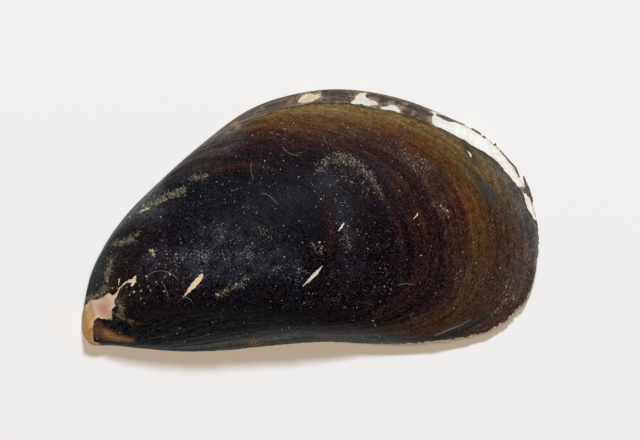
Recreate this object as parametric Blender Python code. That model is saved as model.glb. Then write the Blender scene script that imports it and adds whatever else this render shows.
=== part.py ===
# A mussel shell: one left valve, lying on its rim with the outside up.
# Metres. +X runs to the rounded rear end, +Y to the hinge side, +Z up.
import math

import bmesh
import bpy
import numpy as np

MM = 0.001

# The grown valve's margin in mm from the beak, from under the beak round by the hinge side.
MARGIN_MM = [
    (0.53, -1.24), (-0.40, -0.60), (-0.99, 0.67), (-1.07, 2.40), (-0.67, 4.67),
    (0.13, 8.28), (1.87, 11.88), (4.94, 16.29), (9.35, 20.69), (14.69, 25.43),
    (20.69, 29.90), (26.70, 32.17), (33.38, 32.97), (40.72, 31.91), (48.06, 29.17),
    (54.07, 25.63), (57.67, 20.83), (59.61, 16.02), (59.87, 11.48), (58.74, 6.14),
    (55.67, 2.27), (50.73, 0.07), (44.05, -1.00), (37.38, -1.07), (31.11, -0.84),
    (24.03, -1.38), (18.02, -1.98), (12.68, -2.14), (7.34, -1.74), (3.34, -1.31),
]
SAMPLES_PER_SPAN = 3

# Every earlier margin is a smaller copy of the last one, tilted up and turned about the beak.
TILT_RATE = 0.65
TURN_RATE = 0.22
RATE_OFFSET = 0.08
TILT_AXIS_DEG = 105.0
WIDENING = 0.84  # the young shell is a little wider for its length
LOWER_LIFT_MM = 5.0  # the young shell's lower side lies higher, so the flank below the keel is broad
LOWER_LIFT_X_MM = (2.0, 32.0)  # the lift grows between these lengths along the margin
LOWER_LIFT_Y_MM = (2.0, 16.0)  # and fades between these heights
ROUNDING_MM = 2.14  # softens the keel that runs from the beak
BEAK_HEIGHT_MM = 2.7
BEAK_RADIUS_MM = 4.0

# Growth checks: the size of the shell at each one, and the height of its ledge in mm.
CHECKS = [(0.30, 0.14), (0.43, 0.16), (0.595, 0.28), (0.72, 0.30), (0.79, 0.20), (0.88, 0.26), (0.95, 0.18)]
LEDGE_WIDTH = 0.005
LEDGE_RUN = 0.048  # the surface is back at its level this much further out
FULL_LEDGE_SPACING_MM = 40.0  # lower ledges where the growth lines crowd together
FIRST_GROWTH = 0.012
RING_STEP = 0.042
SLOPE_STEP = 0.002  # growth share over which the surface's slope is read

# The inside is the outside drawn in towards a point on the rim's plane.
ANCHOR_MM = (38.0, 13.0)
INNER_SCALE = (0.957, 0.945, 0.905)
INNER_GROWTH = [0.03, 0.08, 0.15, 0.24, 0.34, 0.45, 0.56, 0.67, 0.77, 0.86, 0.94, 1.0]

SKIN_COLOUR = (0.030, 0.022, 0.026, 1.0)
SKIN_ROUGHNESS = 0.32


def margin_outline():
    """The margin as a closed smooth curve through its points."""
    points = np.array(MARGIN_MM)
    before = np.roll(points, 1, axis=0)
    after = np.roll(points, -1, axis=0)
    second = np.roll(points, -2, axis=0)
    spans = []
    for step in range(SAMPLES_PER_SPAN):
        t = step / SAMPLES_PER_SPAN
        cubic = 3 * points - before - 3 * after + second
        square = 2 * before - 5 * points + 4 * after - second
        spans.append(0.5 * (2 * points + (after - before) * t + square * t**2 + cubic * t**3))
    return np.stack(spans, axis=1).reshape(-1, 2)


def smooth_step(value, low, high):
    """Eases from 0 at low to 1 at high."""
    share = np.clip((value - low) / (high - low), 0.0, 1.0)
    return share**2 * (3 - 2 * share)


def smooth_ring(margin, growth):
    """The margin as it lay when the shell had this share of its size, without ledges."""
    age = math.log((1 + RATE_OFFSET) / (growth + RATE_OFFSET))
    tilt = TILT_RATE * age
    turn = TURN_RATE * age
    axis_angle = math.radians(TILT_AXIS_DEG)
    along = np.array([math.cos(axis_angle), math.sin(axis_angle)])
    across = np.array([math.sin(axis_angle), -math.cos(axis_angle)])
    turned = np.array([[math.cos(turn), math.sin(turn)], [-math.sin(turn), math.cos(turn)]])
    small = (margin * [growth, growth**WIDENING]) @ turned
    lower = smooth_step(margin[:, 0], *LOWER_LIFT_X_MM) * (1 - smooth_step(margin[:, 1], *LOWER_LIFT_Y_MM))
    small[:, 1] += LOWER_LIFT_MM * age * growth * lower
    reach = small @ across
    flat = np.outer(small @ along, along) + np.outer(reach * math.cos(tilt), across)
    arm = 0.5 * (reach + np.sqrt(reach**2 + (ROUNDING_MM * growth) ** 2))
    dome = np.exp(-((growth * np.linalg.norm(margin, axis=1) / BEAK_RADIUS_MM) ** 2))
    height = arm * math.sin(tilt) + BEAK_HEIGHT_MM * math.sqrt(max(0.0, 1 - growth**2)) * dome
    return np.column_stack([flat, height])


def ledge_depth(growth):
    """How far the surface lies below its smooth level, in mm."""
    depth = 0.0
    for size, height in CHECKS:
        if size < growth < size + LEDGE_RUN:
            depth += height * (1 - (growth - size) / LEDGE_RUN)
    return depth


def outer_ring(margin, growth):
    """The margin at this growth, set down along the normal after each growth check."""
    ring = smooth_ring(margin, growth)
    outward = (ring - smooth_ring(margin, growth - SLOPE_STEP)) / SLOPE_STEP
    around = np.roll(ring, -1, axis=0) - np.roll(ring, 1, axis=0)
    around /= np.linalg.norm(around, axis=1)[:, None]
    normal = np.cross(around, outward)
    spacing = np.linalg.norm(normal, axis=1)
    crowding = np.minimum(1.0, spacing / FULL_LEDGE_SPACING_MM)
    return ring - normal / spacing[:, None] * (ledge_depth(growth) * crowding)[:, None]


def ring_growths():
    """Growth shares of the rings: a pair at each check, and even steps between them."""
    fixed = [FIRST_GROWTH]
    for size, _ in CHECKS:
        fixed += [size - LEDGE_WIDTH / 2, size + LEDGE_WIDTH / 2]
    fixed.append(1.0)
    growths = [fixed[0]]
    for low, high in zip(fixed, fixed[1:]):
        count = max(1, math.ceil((high - low) / RING_STEP))
        growths += list(np.linspace(low, high, count + 1)[1:])
    return growths


def drawn_in(ring):
    """A ring of the outside moved in to the inner face."""
    anchor = np.array([*ANCHOR_MM, 0.0])
    return anchor + (ring - anchor) * INNER_SCALE


def add_rings(bm, rings):
    """Vertices for each ring, in place and in metres."""
    return [[bm.verts.new(point * MM) for point in ring] for ring in rings]


def join_rings(bm, first, second):
    """A strip of faces between two rings."""
    count = len(first)
    for i in range(count):
        j = (i + 1) % count
        bm.faces.new((first[i], first[j], second[j], second[i]))


def close_ring(bm, ring):
    """A fan of faces that closes the beak's end."""
    centre = sum((vert.co for vert in ring), ring[0].co * 0) / len(ring)
    middle = bm.verts.new(centre)
    for i, vert in enumerate(ring):
        bm.faces.new((middle, ring[(i + 1) % len(ring)], vert))


def skin_material():
    """Dark horny skin over the shell."""
    material = bpy.data.materials.new("shell_skin")
    material.use_nodes = True
    shader = material.node_tree.nodes["Principled BSDF"]
    shader.inputs["Base Color"].default_value = SKIN_COLOUR
    shader.inputs["Roughness"].default_value = SKIN_ROUGHNESS
    shader.inputs["Metallic"].default_value = 0.0
    material.diffuse_color = SKIN_COLOUR
    return material


def left_valve():
    """The valve as one closed body, its rim flat on the plane it rests on."""
    margin = margin_outline()
    outer = [outer_ring(margin, growth) for growth in ring_growths()]
    inner = [drawn_in(smooth_ring(margin, growth)) for growth in INNER_GROWTH]
    centre = (margin.min(axis=0) + margin.max(axis=0)) / 2
    shift = np.array([*centre, 0.0])

    bm = bmesh.new()
    outside = add_rings(bm, [ring - shift for ring in outer])
    inside = add_rings(bm, [ring - shift for ring in inner])
    close_ring(bm, outside[0])
    close_ring(bm, inside[0])
    for rings in (outside, inside):
        for first, second in zip(rings, rings[1:]):
            join_rings(bm, first, second)
    join_rings(bm, outside[-1], inside[-1])
    bmesh.ops.recalc_face_normals(bm, faces=bm.faces)

    mesh = bpy.data.meshes.new("left_valve")
    bm.to_mesh(mesh)
    bm.free()
    mesh.materials.append(skin_material())
    valve = bpy.data.objects.new("left_valve", mesh)
    bpy.context.collection.objects.link(valve)
    mesh.shade_smooth()
    return valve


for item in list(bpy.data.objects):
    bpy.data.objects.remove(item, do_unlink=True)
left_valve()
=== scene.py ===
import math

import bpy
import numpy as np
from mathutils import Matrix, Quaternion, Vector
from mathutils.bvhtree import BVHTree
from mathutils.kdtree import KDTree


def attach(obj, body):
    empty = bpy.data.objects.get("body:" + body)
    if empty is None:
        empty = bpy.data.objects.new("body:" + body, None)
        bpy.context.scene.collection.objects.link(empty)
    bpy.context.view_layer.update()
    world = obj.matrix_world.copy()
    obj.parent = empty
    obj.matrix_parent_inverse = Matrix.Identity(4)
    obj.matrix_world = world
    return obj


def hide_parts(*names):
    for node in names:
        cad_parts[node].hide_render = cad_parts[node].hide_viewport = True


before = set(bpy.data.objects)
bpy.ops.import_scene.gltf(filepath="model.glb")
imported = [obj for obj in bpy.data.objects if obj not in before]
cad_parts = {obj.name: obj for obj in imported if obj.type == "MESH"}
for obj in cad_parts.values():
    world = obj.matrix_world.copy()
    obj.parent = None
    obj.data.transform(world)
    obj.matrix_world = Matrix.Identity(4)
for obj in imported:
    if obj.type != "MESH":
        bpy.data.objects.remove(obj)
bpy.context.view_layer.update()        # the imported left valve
mm = 0.001

# How the valve grew: each earlier margin is a smaller copy of the last, tilted up and turned about the beak.
growth = {
    "margin": [  # in mm from the beak, from under it round by the hinge side
        (0.53, -1.24), (-0.40, -0.60), (-0.99, 0.67), (-1.07, 2.40), (-0.67, 4.67),
        (0.13, 8.28), (1.87, 11.88), (4.94, 16.29), (9.35, 20.69), (14.69, 25.43),
        (20.69, 29.90), (26.70, 32.17), (33.38, 32.97), (40.72, 31.91), (48.06, 29.17),
        (54.07, 25.63), (57.67, 20.83), (59.61, 16.02), (59.95, 11.40), (58.88, 5.95),
        (55.92, 2.16), (51.00, -0.31), (44.10, -1.12), (37.38, -1.09), (31.11, -0.84),
        (24.03, -1.38), (18.02, -1.98), (12.68, -2.14), (7.34, -1.74), (3.34, -1.31),
    ],
    "tiltRate": 0.65,
    "turnRate": 0.22,
    "rateOffset": 0.08,
    "tiltAxis": 105.0,
    "widening": 0.84,
    "lowerLift": 5.0,
    "lowerLiftX": (2.0, 32.0),
    "lowerLiftY": (2.0, 16.0),
    "rounding": 2.14,
    "beakHeight": 2.7,
    "beakRadius": 4.0,
    "gape": 1.45,  # the lower rear margin stands this far off the table
    "gapeStart": (17.5, 19.5),  # places round the margin between which the lift grows
    "gapeEnd": (22.0, 24.5),
    "gapeSize": (0.74, 1.0),
    "innerAnchor": (38.0, 13.0, 0.0),
    "innerScale": (0.957, 0.945, 0.905),
}


def smoothStep(value, low, high):
    share = np.clip((value - low) / (high - low), 0.0, 1.0)
    return share * share * (3 - 2 * share)


def plateau(value, rise, fall):  # 0, then 1 between a rise and a fall, then 0 again
    return smoothStep(value, *rise) * (1 - smoothStep(value, *fall))


noiseTable = np.random.default_rng(11).random((89, 89))


def softNoise(x, y, layer):  # smooth random values from 0 to 1, one for each unit square
    x = np.asarray(x, float) + 17.31 * layer
    y = np.asarray(y, float) + 5.77 * layer
    column, row = np.floor(x).astype(int), np.floor(y).astype(int)
    easeX = smoothStep(x - column, 0.0, 1.0)
    easeY = smoothStep(y - row, 0.0, 1.0)
    size = len(noiseTable)

    def corner(stepX, stepY):
        return noiseTable[(column + stepX) % size, (row + stepY) % size]

    low = corner(0, 0) * (1 - easeX) + corner(1, 0) * easeX
    high = corner(0, 1) * (1 - easeX) + corner(1, 1) * easeX
    return low * (1 - easeY) + high * easeY


def lineNoise(place, count, layer):  # the same along a line, count values to a unit
    return softNoise(place * count, 0.0 * place, layer)


marginPoints = np.array(growth["margin"])
spans = len(marginPoints)


def ringNoise(t, along, out, layer):  # noise round the margin that meets itself at the seam
    share = smoothStep(t, spans - 1.0, spans)
    before, after = softNoise(t * along, out, layer), softNoise((t - spans) * along, out, layer)
    return before * (1 - share) + after * share


def marginPoint(t):  # t runs from 0 to the number of spans, round the margin
    span = np.floor(t).astype(int)
    share = (t - span)[:, None]
    before, first, second, after = [marginPoints[(span + step) % spans] for step in (-1, 0, 1, 2)]
    square = 2 * before - 5 * first + 4 * second - after
    cubic = 3 * first - before - 3 * second + after
    return 0.5 * (2 * first + (second - before) * share + square * share**2 + cubic * share**3)


outlineSamples = marginPoint(np.arange(0, spans, 1 / 3))
outlineCentre = (outlineSamples.min(axis=0) + outlineSamples.max(axis=0)) / 2


def growthPoint(t, size):  # in mm from the middle of the outline
    margin = marginPoint(t)
    size = np.clip(size, 0.0, 1.0)
    age = np.log((1 + growth["rateOffset"]) / (size + growth["rateOffset"]))
    tilt, turn = growth["tiltRate"] * age, growth["turnRate"] * age
    axis = math.radians(growth["tiltAxis"])
    x, y = margin[:, 0] * size, margin[:, 1] * size ** growth["widening"]
    x, y = x * np.cos(turn) - y * np.sin(turn), x * np.sin(turn) + y * np.cos(turn)
    lower = smoothStep(margin[:, 0], *growth["lowerLiftX"])
    lower = lower * (1 - smoothStep(margin[:, 1], *growth["lowerLiftY"]))
    y = y + growth["lowerLift"] * age * size * lower
    reach = x * math.sin(axis) - y * math.cos(axis)
    along = x * math.cos(axis) + y * math.sin(axis)
    flatX = along * math.cos(axis) + reach * np.cos(tilt) * math.sin(axis)
    flatY = along * math.sin(axis) - reach * np.cos(tilt) * math.cos(axis)
    arm = 0.5 * (reach + np.sqrt(reach**2 + (growth["rounding"] * size) ** 2))
    dome = np.exp(-((size * np.linalg.norm(margin, axis=1) / growth["beakRadius"]) ** 2))
    height = arm * np.sin(tilt) + growth["beakHeight"] * np.sqrt(1 - size**2) * dome
    rear = plateau(t, growth["gapeStart"], growth["gapeEnd"])
    height = height + growth["gape"] * rear * smoothStep(size, *growth["gapeSize"])
    return np.column_stack([flatX - outlineCentre[0], flatY - outlineCentre[1], height])


def outwardNormal(t, size):  # the unit normal, and how far apart growth lines lie there
    step, turn = 0.002, 0.02
    size = np.maximum(size, 2 * step)
    outward = (growthPoint(t, size) - growthPoint(t, size - step)) / step
    around = growthPoint(t + turn, size) - growthPoint(t - turn, size)
    around /= np.linalg.norm(around, axis=1)[:, None]
    normal = np.cross(around, outward)
    spacing = np.maximum(np.linalg.norm(normal, axis=1), 1e-6)
    return normal / spacing[:, None], spacing


# Where the outline runs as seen from above, for distances from the margin.
fineT = np.linspace(0, spans, 1801)[:-1]
fineMargin = growthPoint(fineT, np.ones(len(fineT)))[:, :2]
marginStep = np.linalg.norm(np.roll(fineMargin, -1, axis=0) - fineMargin, axis=1)
marginArc = np.concatenate([[0.0], np.cumsum(marginStep)])
marginTree = KDTree(len(fineMargin))
for number, place in enumerate(fineMargin):
    marginTree.insert((place[0], place[1], 0.0), number)
marginTree.balance()


def edgeDistance(x, y):
    return np.array([marginTree.find((a, b, 0.0))[2] for a, b in zip(x, y)])


def strokeField(x, y, stroke):  # positive inside a stroke of (x, y, half width) points, in mm
    best = np.full(np.shape(x), -9.0)
    for (ax, ay, aWidth), (bx, by, bWidth) in zip(stroke, stroke[1:]):
        dx, dy = bx - ax, by - ay
        share = np.clip(((x - ax) * dx + (y - ay) * dy) / (dx * dx + dy * dy), 0.0, 1.0)
        away = np.hypot(x - ax - share * dx, y - ay - share * dy)
        best = np.maximum(best, aWidth + (bWidth - aWidth) * share - away)
    return best


# What the sea and the stones did to it, in mm from the middle of the outline, with half widths.
wear = {
    "scars": [
        [(-16.7, -10.0, 0.04), (-16.1, -9.35, 0.20), (-15.4, -8.55, 0.38), (-14.75, -7.85, 0.35),
         (-14.3, -7.2, 0.22)],
        [(-1.0, -8.7, 0.05), (0.0, -7.7, 0.19), (0.9, -6.8, 0.20), (1.6, -6.0, 0.07)],
        [(3.7, -1.35, 0.05), (4.1, -0.85, 0.17), (4.5, -0.35, 0.08)],
        [(13.7, 0.3, 0.08), (14.2, 0.9, 0.10)],
        [(21.0, 9.2, 0.08), (21.4, 8.6, 0.14)],
        [(-26.0, -10.1, 0.14), (-25.5, -9.5, 0.10), (-25.1, -8.8, 0.08), (-24.5, -8.25, 0.12),
         (-23.9, -8.0, 0.22)],
        [(-23.9, -8.0, 0.22), (-23.3, -7.95, 0.34), (-23.1, -7.35, 0.14)],
        [(-23.3, -8.0, 0.3), (-23.6, -8.6, 0.12)],
        [(-25.3, -7.8, 0.10), (-25.35, -8.5, 0.06)],
        [(-21.7, -7.3, 0.07), (-21.6, -7.6, 0.03)],
        [(-23.5, -9.6, 0.03), (-23.3, -9.4, 0.10)],
        [(-22.4, -9.3, 0.08), (-22.2, -9.2, 0.04)],
        [(-21.15, -9.3, 0.03), (-21.05, -9.15, 0.09)],
        [(-21.4, -8.7, 0.07), (-21.35, -8.55, 0.04)],
        [(-22.6, 1.15, 0.07), (-21.5, 1.6, 0.11)],
    ],
    "tail": [(-16.6, -9.95, 0.10), (-17.6, -10.85, 0.05)],  # brown torn skin that runs on from the first scar
    "beak": [  # the bare beak's border
        (-31.0, -12.2), (-30.1, -11.3), (-29.6, -10.9), (-29.2, -10.4), (-28.5, -10.5), (-27.5, -10.1),
        (-26.7, -9.5), (-26.2, -9.9), (-25.5, -9.6), (-25.7, -10.2), (-26.1, -10.6), (-25.8, -11.3),
        (-26.3, -11.8), (-26.3, -13.3), (-26.9, -13.2), (-28.2, -12.9), (-28.8, -13.4), (-28.9, -15.5),
        (-28.9, -16.3), (-28.0, -16.4), (-28.2, -17.2), (-31.0, -17.4),
    ],
    "stain": [
        (-28.3, -14.1, 0.6), (-28.4, -14.9, 0.7), (-27.2, -15.1, 0.6), (-25.8, -15.7, 0.25),
        (-23.9, -15.95, 0.12),
    ],
    "rust": [  # redder stretches of single bands
        (0.5, [(1.6, 2.6, 0.2), (2.7, -0.6, 0.45), (2.6, -3.8, 0.3)]),
        (0.8, [(-12.8, 6.5, 0.15), (-9.5, 7.5, 0.3), (-6.0, 7.3, 0.2)]),
        (0.5, [(10.6, -11.4, 0.1), (13.6, -8.4, 0.3), (15.2, -5.0, 0.2)]),
    ],
    "stripWidth": [  # the worn strip along the hinge side: place round the margin, width in mm
        (8.6, 0.0), (9.6, 0.9), (10.6, 1.5), (12.0, 1.75), (13.2, 2.02), (14.0, 1.82),
        (14.6, 1.9), (15.2, 1.65), (15.8, 1.05), (16.3, 0.75), (16.8, 0.7), (17.3, 0.0),
    ],
    "whiteBand": (16.3, 17.15),  # bare from this far along, in mm, to this place round the margin
    "kept": [(27.6, 4.3, 0.25), (28.9, 4.1, 0.45)],  # skin left across the bare band
    "stripPatches": [
        [(-1.5, 16.1, 0.30), (-0.6, 16.4, 0.60), (0.3, 16.5, 0.50), (0.9, 16.7, 0.15)],
        [(0.8, 16.5, 0.12), (1.3, 16.9, 0.18), (1.3, 16.4, 0.10)],
        [(5.5, 15.6, 0.25), (6.7, 16.4, 0.60), (7.6, 15.9, 0.50), (8.7, 15.8, 0.35)],
        [(6.6, 16.9, 0.20), (7.3, 16.9, 0.18)],
        [(9.5, 15.0, 0.14), (10.8, 15.2, 0.48), (11.6, 14.8, 0.42), (11.9, 14.3, 0.2)],
    ],
    "underEdge": [  # place round the margin, width in mm: the pale lime colour shows along the edge here
        (17.3, 0.0), (18.2, 0.03), (19.3, 0.04), (19.7, 0.07), (20.2, 0.10), (20.6, 0.05),
        (21.0, 0.14), (21.5, 0.30), (21.9, 0.22), (22.6, 0.08), (23.4, 0.0),
    ],
    "ledges": [  # growth checks: the size of the shell at each, and how far it steps down there, in mm
        (0.30, 0.14), (0.43, 0.16), (0.595, 0.28), (0.72, 0.30), (0.79, 0.20), (0.88, 0.26), (0.95, 0.18),
    ],
    "ledgeRun": 0.048,  # the surface is back at its level this much further out
    "growthLines": [(95, 0.045, 7, 0.8), (48, 0.075, 8, 0.5), (20, 0.10, 10, 0.35)],  # count, mm, layer, run
    "fullSpacing": 40.0,  # the lines are lower where they lie closer than this
    "fold": [(16.6, -15.3, 0.03), (18.5, -14.5, 0.06), (20.1, -13.9, 0.06), (21.3, -13.2, 0.02)],
}

# Dust, blue-grey film with a painted sheen, and crust, in mm from the middle of the outline, with half
# widths.
dirt = {
    "soft": {"dust": 0.7, "crust": 0.35, "film": 1.6, "slate": 0.5},  # over how many mm each fades
    "dust": [
        (0.75, [(1.3, 6.5, 0.5), (1.9, 7.8, 0.8), (3.4, 8.4, 1.0), (5.6, 8.0, 1.0), (8.0, 6.0, 0.8),
                (9.6, 3.2, 0.4)]),
        (0.36, [(3.2, 6.1, 1.6), (5.2, 5.9, 2.0), (7.2, 3.8, 1.2)]),
        (0.5, [(-6.6, -1.2, 0.8), (-5.6, -2.0, 0.9)]),
        (0.6, [(0.3, -3.3, 0.7), (1.3, -4.0, 0.7)]),
        (0.5, [(4.7, -1.0, 0.6), (4.9, -3.4, 0.9)]),
        (0.55, [(12.6, 8.6, 1.0), (15.1, 6.6, 1.3)]),
        (0.60, [(16.4, 2.0, 0.7), (18.2, 1.0, 0.8)]),
        (0.55, [(-11.4, 9.5, 0.5), (-10.8, 9.2, 0.4)]),
        (0.34, [(27.9, -5.0, 1.2), (26.6, -9.6, 1.5), (24.0, -12.0, 0.8)]),
    ],
    "crust": [
        (1.3, [(-22.8, 1.0, 0.25), (-20.8, 2.3, 0.40), (-18.6, 3.4, 0.50), (-16.6, 4.0, 0.35)]),
        (0.9, [(-25.9, -10.3, 0.25), (-25.2, -11.2, 0.35), (-25.0, -12.2, 0.35)]),
        (0.3, [(-16.1, 5.5, 0.3), (-14.0, 5.8, 0.3)]),
        (1.0, [(-27.1, -8.0, 0.35), (-26.9, -6.9, 0.40), (-26.4, -5.3, 0.3)]),
        (1.0, [(-26.2, -3.2, 0.30), (-24.8, -3.0, 0.42), (-23.8, -2.5, 0.45), (-22.6, -1.5, 0.2)]),
        (0.8, [(-12.2, -9.8, 0.50), (-10.9, -9.2, 0.40), (-9.2, -8.2, 0.3), (-8.4, -7.5, 0.2)]),
        (0.9, [(-27.9, -10.0, 0.5), (-27.2, -9.0, 0.4)]),
        (0.9, [(-30.1, -11.0, 0.22), (-29.3, -10.3, 0.32), (-28.2, -9.9, 0.35)]),
        (0.8, [(-26.2, -12.2, 0.4), (-24.9, -13.0, 0.5), (-23.2, -13.6, 0.3)]),
        (1.0, [(-8.4, -16.2, 0.5), (-6.6, -16.3, 0.5)]),
    ],
    "film": [
        # the middle patch: partly the skin's blue-grey film, partly a painted sheen of the lamp's broad
        # highlight
        (0.9, [(-13.5, -2.6, 2.0), (-11.0, -2.0, 2.8), (-8.5, -2.4, 2.0)]),
        (0.2, [(-13.0, 2.5, 2.0), (-6.0, 4.0, 2.0)]),
        (1.3, [(-20.5, -5.6, 1.8), (-15.0, -5.4, 2.4), (-9.0, -5.6, 2.4), (-3.0, -5.4, 1.6)]),
        (1.1, [(-28.2, -7.5, 1.0), (-26.8, -3.0, 1.3)]),
        (1.3, [(1.6, 6.4, 0.5), (2.4, 4.6, 0.8), (4.2, 2.4, 0.8), (5.2, -1.6, 0.9)]),
        (0.6, [(5.2, -1.6, 0.9), (4.4, -7.0, 1.0)]),
    ],
    "slate": [
        (0.9, [(22.4, 5.5, 0.4), (23.4, 4.1, 0.7), (24.7, 2.5, 0.5)]),
        (0.9, [(20.3, 10.5, 0.5), (21.4, 8.7, 0.6), (22.0, 7.6, 0.4)]),
        (0.8, [(26.5, 5.6, 0.3), (27.6, 3.7, 0.4), (28.2, 2.4, 0.3)]),
        (0.8, [(17.6, 11.9, 0.2), (20.4, 10.9, 0.3), (23.4, 8.9, 0.2), (26.2, 6.2, 0.2)]),
        (1.0, [(28.7, 1.2, 0.3), (29.3, -1.2, 0.6), (29.4, -3.4, 0.3)]),
        (0.6, [(28.0, -5.5, 0.4), (27.2, -9.5, 0.4)]),
        (1.3, [(16.4, -15.8, 0.2), (19.0, -15.1, 0.7), (21.5, -13.8, 0.5), (23.5, -13.0, 0.3)]),
        (0.6, [(11.9, -7.7, 0.15), (12.3, -8.5, 0.2)]),
        (0.5, [(8.0, -10.6, 0.25), (8.3, -11.3, 0.2)]),
        (0.4, [(-13.5, 12.6, 0.5), (-9.0, 14.5, 0.6), (-5.0, 15.6, 0.5)]),
    ],
}


def inside(x, y, border):  # positive inside a closed border, in mm
    loop = [(ax, ay, 0.0) for ax, ay in border]
    away = -strokeField(x, y, loop + loop[:1])
    within = np.zeros(np.shape(x), bool)
    for (ax, ay), (bx, by) in zip(border, border[1:] + border[:1]):
        crossing = (ay > y) != (by > y)
        rise = (by - ay) if by != ay else 1e-9
        within ^= crossing & (x < ax + (bx - ax) * (y - ay) / rise)
    return np.where(within, away, -away)


def featureField(x, y, entries, soft):  # 0 to 1, fading over soft mm round each stroke
    best = np.zeros(np.shape(x))
    for strength, stroke in entries:
        best = np.maximum(best, strength * smoothStep(strokeField(x, y, stroke), -soft, soft))
    return best


def widthAt(t, table):  # in mm, from a table of places round the margin and widths
    places, widths = zip(*table)
    return np.interp(t, places, widths, left=0.0, right=0.0)


def stripField(t, away):  # positive within the worn strip, in mm
    width = widthAt(t, wear["stripWidth"])
    jag = (lineNoise(t, 3.0, 3) - 0.5) * 0.40 + (lineNoise(t, 11.0, 4) - 0.5) * 0.16
    return np.where(width > 0.01, width + jag * np.minimum(1.0, width) - away, -1.0)


def bareField(t, size, x, y, away):  # positive where the skin is gone, in mm
    bare = np.maximum(-1.0, inside(x, y, wear["beak"]))
    strip = stripField(t, away)
    low, high = wear["whiteBand"]
    torn = (lineNoise(y, 2.7, 31) - 0.5) * 1.9 - 0.45 * (y - 13.2)
    ends = np.where(y > 0, np.minimum(x - low + torn, (high - t) * 5.0), -1.0)
    band = np.minimum(np.minimum(strip + 0.02, ends), away - 0.06)
    bare = np.maximum(bare, np.minimum(band, -strokeField(x, y, wear["kept"])))
    for stroke in wear["stripPatches"]:
        patch = np.minimum(strokeField(x, y, stroke), np.minimum(strip - 0.05, away - 0.15))
        bare = np.maximum(bare, patch)
    width = widthAt(t, wear["underEdge"])
    torn = width * (0.5 + lineNoise(t, 14.0, 9)) - away
    bare = np.maximum(bare, np.where((width > 0.01) & (size > 0.8), torn, -1.0))
    return np.clip(bare, -1.0, 1.0)


def growthRelief(t, size, spacing):  # height of the growth lines over the smooth surface, in mm
    wobble = (ringNoise(t, 0.9, size * 6, 5) - 0.5) * 0.008
    shifted = size + wobble
    relief = np.zeros(len(t))
    for at, height in wear["ledges"]:
        past = shifted - at
        drop = np.where((past > 0) & (past < wear["ledgeRun"]), 1 - past / wear["ledgeRun"], 0.0)
        lip = np.exp(-((past + 0.004) / 0.006) ** 2) * 0.25
        strength = height * (0.55 + 0.8 * ringNoise(t, 0.7, size * 0 + at * 50, 6))
        relief += strength * (lip - drop)
    for count, height, layer, run in wear["growthLines"]:
        relief += height * (ringNoise(t, run, shifted * count, layer) - 0.5)
    return relief * np.minimum(1.0, spacing / wear["fullSpacing"])


# The valve's mesh. Heights and depths are in mm.
valve = {
    "columns": 240,  # faces round the margin
    "rings": 280,  # and out from the beak
    "marginRings": 3,  # the last ones are cut finer
    "marginCuts": 3,
    "innerRings": 40,
    "raggedStart": (11.4, 12.0),  # places round the margin between which columns lie closer
    "raggedEnd": (23.5, 24.1),
    "raggedDensity": 1.9,
    "roughStart": (13.2, 14.6),  # where the margin is worn back, and where most of all
    "roughEnd": (26.5, 28.5),
    "cornerStart": (18.6, 19.6),
    "cornerEnd": (21.8, 22.6),
    "notches": (17.0, 21, 0.45, 0.30),  # count, noise layer, how rare, how deep
    "chips": (5.0, 22, 0.55, 0.40),
    "fringe": (43.0, 23, 0.0, 0.14),
    "dents": [(6.0, 0.16, 12), (1.7, 0.06, 13)],  # how far apart and how deep, in mm, and the noise layer
    "skinDepth": 0.07,
    "stripDepth": 0.16,
    "foldHeight": 0.12,
    "beakFade": (0.01, 0.12),  # no relief at the very beak, nor on the rim itself
    "rimFade": (0.955, 0.995),
    "muscle": [(15.5, 6.5, 2.6), (18.5, 5.0, 3.2)],
    "muscleHeight": 0.10,
    "sharpest": 50.0,  # faces that meet at more than this many degrees aren't shaded smooth
    "rimScale": (0.984, 0.978, 0.905),  # the wall thins towards the rim
}


def columnTable():  # margin places of evenly spread columns, closer where the margin is ragged
    dense = 1 + (valve["raggedDensity"] - 1) * plateau(fineT, valve["raggedStart"], valve["raggedEnd"])
    total = np.concatenate([[0.0], np.cumsum(marginStep * dense)])
    return total / total[-1], np.append(fineT, spans)


def ringTable():  # growth shares of the rings, closer at the ledges and away from the beak
    sizes = np.linspace(0, 1, 2001)
    dense = np.ones(len(sizes))
    for at, _ in wear["ledges"]:
        dense = dense + 2.2 * np.exp(-((sizes - at - 0.002) / 0.008) ** 2)
    total = np.concatenate([[0.0], np.cumsum((dense[1:] + dense[:-1]) / 2)])
    return total / total[-1], sizes


columnShares, columnPlaces = columnTable()
ringShares, ringSizes = ringTable()


def selectNothing():
    bpy.ops.object.select_all(action="DESELECT")


def makeActive(piece):
    selectNothing()
    piece.select_set(True)
    bpy.context.view_layer.objects.active = piece


def editMesh(kind, action):  # into edit mode, with all or no faces or points chosen
    bpy.ops.object.mode_set(mode="EDIT")
    bpy.ops.mesh.select_mode(type=kind)
    bpy.ops.mesh.select_all(action=action)


def meshPoints(piece):
    points = np.zeros(len(piece.data.vertices) * 3)
    piece.data.vertices.foreach_get("co", points)
    return points.reshape(-1, 3)


def unitGrid(name, columns, rings, marginRings):  # a flat grid whose top rows are cut finer
    selectNothing()
    bpy.ops.mesh.primitive_grid_add(x_subdivisions=columns, y_subdivisions=rings, size=1.0)
    sheet = bpy.context.object
    sheet.name = name
    limit = 0.5 - marginRings / rings
    editMesh("FACE", "DESELECT")
    bpy.ops.object.mode_set(mode="OBJECT")
    for face in sheet.data.polygons:
        face.select = face.center.y > limit
    bpy.ops.object.mode_set(mode="EDIT")
    bpy.ops.mesh.subdivide(number_cuts=valve["marginCuts"], ngon=False)
    bpy.ops.object.mode_set(mode="OBJECT")
    return sheet


def gridShares(sheet):
    shares = np.clip(meshPoints(sheet) + 0.5, 0, 1)
    return shares[:, 0], shares[:, 1]


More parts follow.
